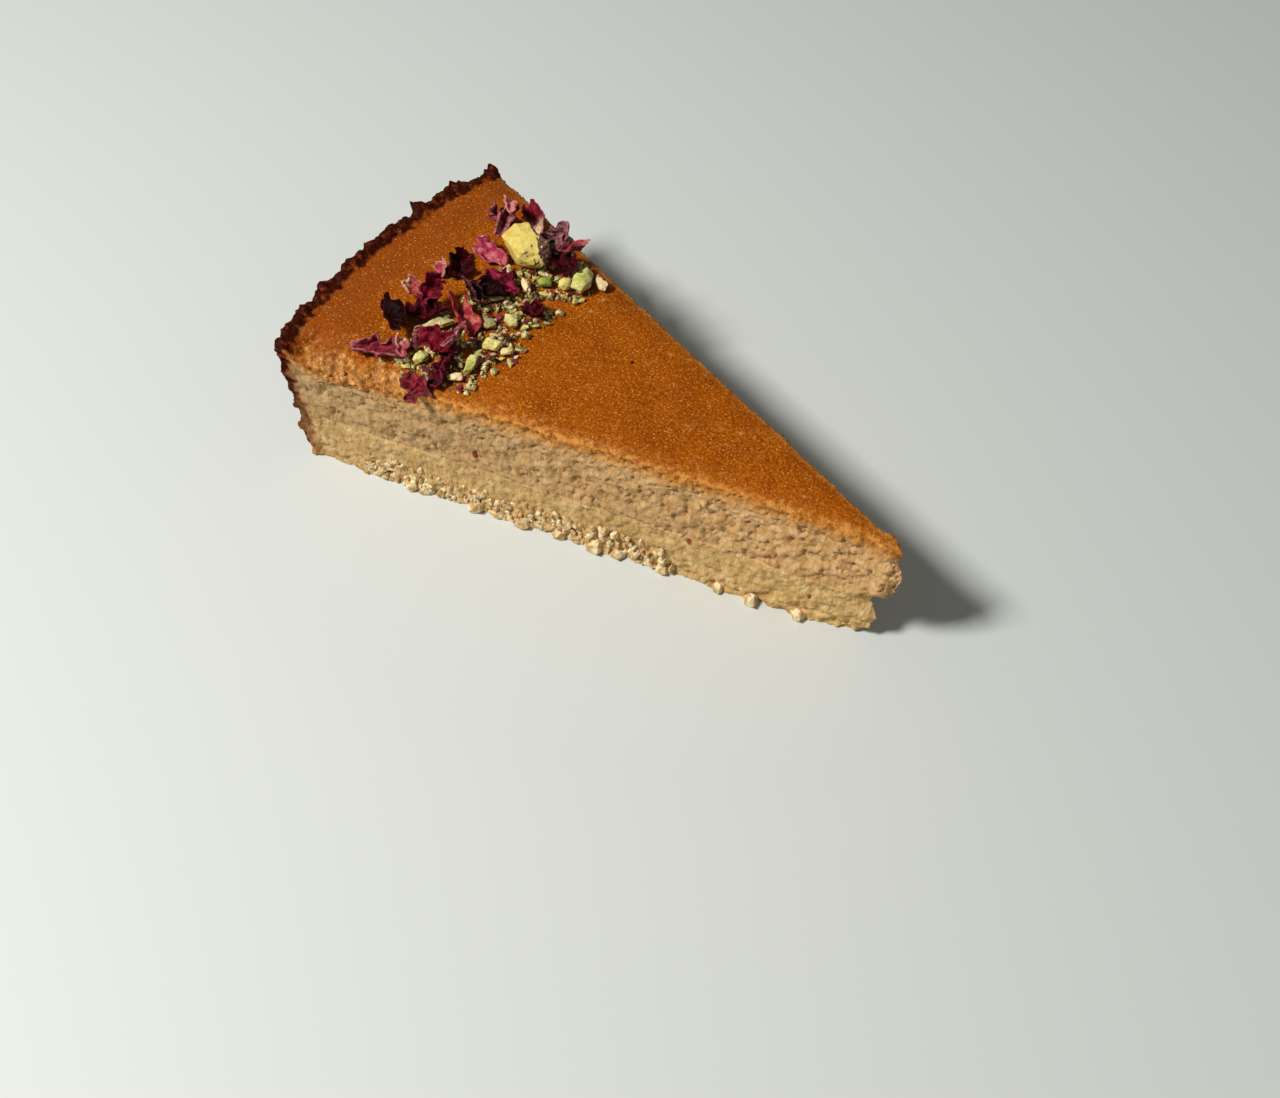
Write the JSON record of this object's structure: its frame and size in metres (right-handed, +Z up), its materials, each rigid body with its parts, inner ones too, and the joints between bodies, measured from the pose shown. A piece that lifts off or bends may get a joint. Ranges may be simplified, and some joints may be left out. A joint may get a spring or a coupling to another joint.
{
  "type": "persian almond cake",
  "caption": "Wedge slice of golden two-layer almond cake with a dark baked rim, topped near the rim with dried rose petals and chopped pistachio.",
  "frame": {"origin": "centre of the bounding box at the face the slice rests on", "axes": "+X along the slice from the browned rim to the tip, +Z up, Y across the slice"},
  "size_m": [0.1315, 0.0669, 0.0416],
  "materials": {
    "cake": "golden brown baked top over a pinkish beige open crumb, with a dark rim",
    "base": "dense moist yellow-beige almond crumb, grainy at the foot",
    "petal": "dry crimson to near-black rose petal with pale claws",
    "pistachio": "yellow-green chopped kernel with brown skin in places"
  },
  "bodies": {
    "root": {"almond_base": "base", "cake_layer": "cake", "petal_black": "petal", "petal_blush": "petal", "petal_claw": "petal", "petal_clump": "petal", "petal_cream": "petal", "petal_crimson": "petal", "petal_dark_fold": "petal", "petal_far_crimson": "petal", "petal_far_curl": "petal", "petal_far_dark": "petal", "petal_far_magenta": "petal", "petal_far_ruffled": "petal", "petal_far_shadow": "petal", "petal_long": "petal", "petal_mauve": "petal", "petal_overhang": "petal", "petal_pink": "petal", "petal_pod": "petal", "petal_ribbed": "petal", "petal_rim": "petal", "petal_rose": "petal", "petal_salmon_tip": "petal", "petal_twig": "petal", "petal_upright": "petal", "petal_wine": "petal", "pistachio_bit": "pistachio", "pistachio_bright": "pistachio", "pistachio_cube": "pistachio", "pistachio_edge": "pistachio", "pistachio_far_green": "pistachio", "pistachio_flake": "pistachio", "pistachio_front": "pistachio", "pistachio_green": "pistachio", "pistachio_grey": "pistachio", "pistachio_kernel": "pistachio", "pistachio_light": "pistachio", "pistachio_pale": "pistachio", "pistachio_right": "pistachio", "pistachio_skin_sliver": "pistachio", "pistachio_sliver": "pistachio", "pistachio_small_yellow": "pistachio", "pistachio_yellow": "pistachio", "pistachio_yellow_bit": "pistachio"}
  },
  "joints": []
}
